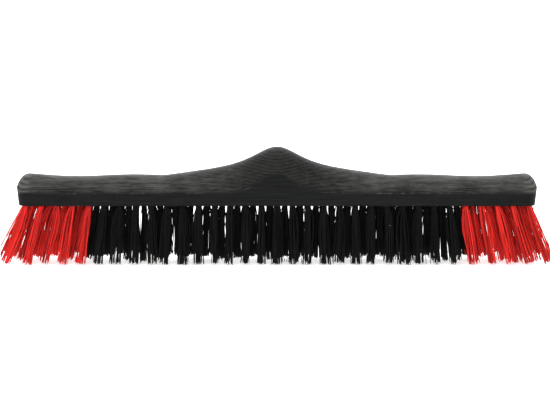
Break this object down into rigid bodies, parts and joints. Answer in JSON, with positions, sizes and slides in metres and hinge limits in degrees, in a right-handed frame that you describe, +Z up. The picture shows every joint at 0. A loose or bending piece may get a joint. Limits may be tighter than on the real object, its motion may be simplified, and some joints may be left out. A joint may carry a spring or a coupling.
{
  "type": "push broom head",
  "caption": "Push broom head: saddle-shaped wooden block with a slanted handle bore behind its hump and staggered rows of bristle tufts, red at both ends, for sweeping floors.",
  "frame": {"origin": "on the floor, under the middle of the block, in the plane of the bristle tips", "axes": "+X along the block, towards the right end as seen from the front; +Y to the rear, where the handle leaves; +Z up"},
  "size_m": [0.639, 0.079, 0.1343],
  "materials": {
    "lacquered_wood": "black satin lacquer",
    "red_bristle": "matt drawn filament",
    "black_bristle": "matt drawn filament",
    "steel_wire": "plain drawn wire"
  },
  "bodies": {
    "root": {"wooden_block": "lacquered_wood", "front_row_red_left_tufts": "red_bristle", "front_row_black_tufts": "black_bristle", "front_row_red_right_tufts": "red_bristle", "front_row_staples": "steel_wire", "second_row_red_left_tufts": "red_bristle", "second_row_black_tufts": "black_bristle", "second_row_red_right_tufts": "red_bristle", "second_row_staples": "steel_wire", "middle_row_red_left_tufts": "red_bristle", "middle_row_black_tufts": "black_bristle", "middle_row_red_right_tufts": "red_bristle", "middle_row_staples": "steel_wire", "fourth_row_red_left_tufts": "red_bristle", "fourth_row_black_tufts": "black_bristle", "fourth_row_red_right_tufts": "red_bristle", "fourth_row_staples": "steel_wire", "rear_row_red_left_tufts": "red_bristle", "rear_row_black_tufts": "black_bristle", "rear_row_red_right_tufts": "red_bristle", "rear_row_staples": "steel_wire"}
  },
  "joints": []
}
